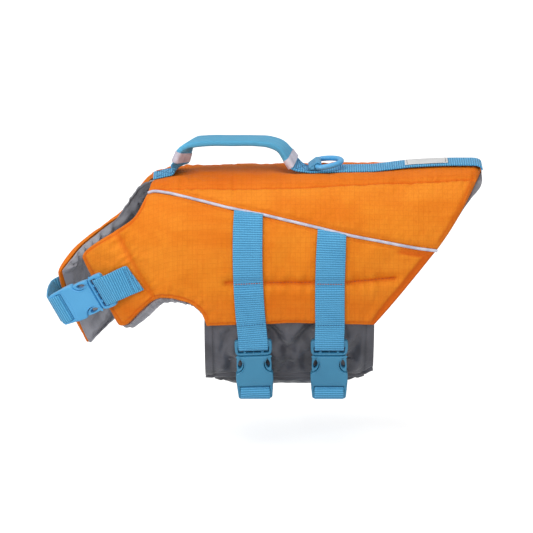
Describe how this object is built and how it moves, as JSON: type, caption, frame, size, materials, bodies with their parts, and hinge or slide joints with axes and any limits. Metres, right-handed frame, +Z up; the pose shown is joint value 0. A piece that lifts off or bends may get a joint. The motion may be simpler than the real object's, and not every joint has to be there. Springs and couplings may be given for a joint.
{
  "type": "dog life jacket",
  "caption": "Foam-padded dog life jacket in orange ripstop, filled out, with belly flaps, webbing straps, side-release buckles, carrying handle and lead ring.",
  "frame": {"origin": "on the wearer's back, under the lining and above the middle of the belly flaps", "axes": "+X to the tail end along the spine, +Y to the dog's right, which is the jacket's far side in the picture, +Z up"},
  "size_m": [0.3789, 0.144, 0.2273],
  "materials": {
    "shell": "orange ripstop over foam",
    "lining": "mid grey lining cloth with a soft sheen",
    "belly": "charcoal cloth with a soft sheen",
    "webbing": "light blue ribbed webbing",
    "grip": "light blue padded webbing",
    "piping": "silver reflective piping",
    "wrap": "silver reflective tape",
    "label": "plain white woven label",
    "plastic": "light blue satin plastic"
  },
  "bodies": {
    "jacket": {"back_panel": "shell", "handle_grip": "grip", "handle_wrap_front": "wrap", "handle_wrap_rear": "wrap", "spine_webbing_front": "webbing", "spine_webbing_rear": "webbing", "spine_label": "label", "ring_keeper": "webbing", "chest_strap_near": "webbing", "chest_strap_far": "webbing", "side_panel_near": "shell", "lining_near": "lining", "piping_near": "piping", "belly_flap_near": "belly", "side_panel_far": "shell", "lining_far": "lining", "piping_far": "piping", "belly_flap_far": "belly", "side_strap_front": "webbing", "girth_strap_front": "webbing", "side_strap_rear": "webbing", "girth_strap_rear": "webbing", "buckle_plug_front": "plastic", "buckle_socket_front": "plastic", "buckle_plug_rear": "plastic", "buckle_socket_rear": "plastic", "buckle_plug_chest": "plastic", "buckle_socket_chest": "plastic"},
    "lead_ring": {"lead_ring": "plastic"}
  },
  "joints": [
    {"name": "ring_hinge", "type": "hinge", "parent": "jacket", "child": "lead_ring", "pos_m": [0.0233, 0, 0.01054], "axis": [0, -1, 0], "range_deg": [0, 130]}
  ]
}
